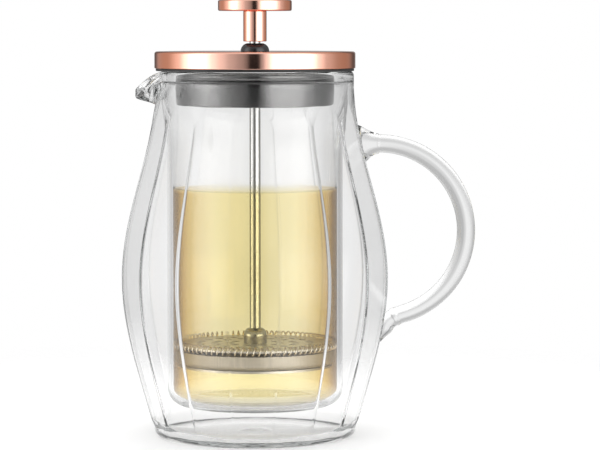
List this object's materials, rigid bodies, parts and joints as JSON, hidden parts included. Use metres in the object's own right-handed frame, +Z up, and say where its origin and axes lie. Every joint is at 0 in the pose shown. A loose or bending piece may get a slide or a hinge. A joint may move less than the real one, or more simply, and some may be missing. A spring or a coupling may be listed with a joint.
{
  "type": "french press",
  "caption": "Double-wall faceted glass french press with a ring handle, pouring spout, plated lid and sliding filter plunger.",
  "frame": {"origin": "centre of the glass base, on the surface it stands on", "axes": "+Z up along the body's axis, +X towards the handle, -X towards the pouring spout"},
  "size_m": [0.16, 0.12, 0.198],
  "materials": {
    "clear_glass": "clear borosilicate, fire polished",
    "rose_gold_plate": "mirror rose-gold plating on steel",
    "polished_steel": "bright polished stainless steel",
    "woven_screen": "fine woven stainless wire",
    "black_plastic": "glossy moulded plastic",
    "black_silicone": "satin silicone",
    "core_plastic": "matt moulded plastic",
    "tea": "clear golden liquid, shown in the vessel",
    "insert_brass": "machined"
  },
  "bodies": {
    "carafe": {"outer_shell": "clear_glass", "inner_vessel": "clear_glass", "pouring_rim": "clear_glass", "pouring_spout": "clear_glass", "glass_handle": "clear_glass", "sealing_pip": "clear_glass"},
    "lid_seat": {"lid_gasket": "black_silicone"},
    "lid": {"lid_cap": "rose_gold_plate", "lid_core": "core_plastic", "lid_skirt": "polished_steel"},
    "bushing": {"rod_bushing": "black_plastic", "bushing_washer": "black_silicone", "bushing_nut": "polished_steel"},
    "plunger": {"plunger_shaft": "polished_steel", "knob_disc": "rose_gold_plate", "knob_back": "rose_gold_plate", "knob_stem": "rose_gold_plate", "knob_insert": "insert_brass", "hub_nut": "polished_steel", "spring_plate": "polished_steel", "coil_spring": "polished_steel", "mesh_screen": "woven_screen", "hub_spacer": "polished_steel", "cross_plate": "polished_steel", "filter_washer": "polished_steel", "lock_nut": "polished_steel"}
  },
  "joints": [
    {"name": "lid_lift", "type": "slide", "parent": "carafe", "child": "lid_seat", "axis": [0, 0, 1], "range_m": [0, 0.14]},
    {"name": "lid_turn", "type": "hinge", "parent": "lid_seat", "child": "lid", "pos_m": [0, 0, 0.1672], "axis": [0, 0, 1], "continuous": true},
    {"name": "plunger_turn", "type": "hinge", "parent": "lid", "child": "bushing", "pos_m": [0, 0, 0.1748], "axis": [0, 0, 1], "continuous": true},
    {"name": "plunger_slide", "type": "slide", "parent": "bushing", "child": "plunger", "axis": [0, 0, 1], "range_m": [-0.0005, 0.105]}
  ]
}
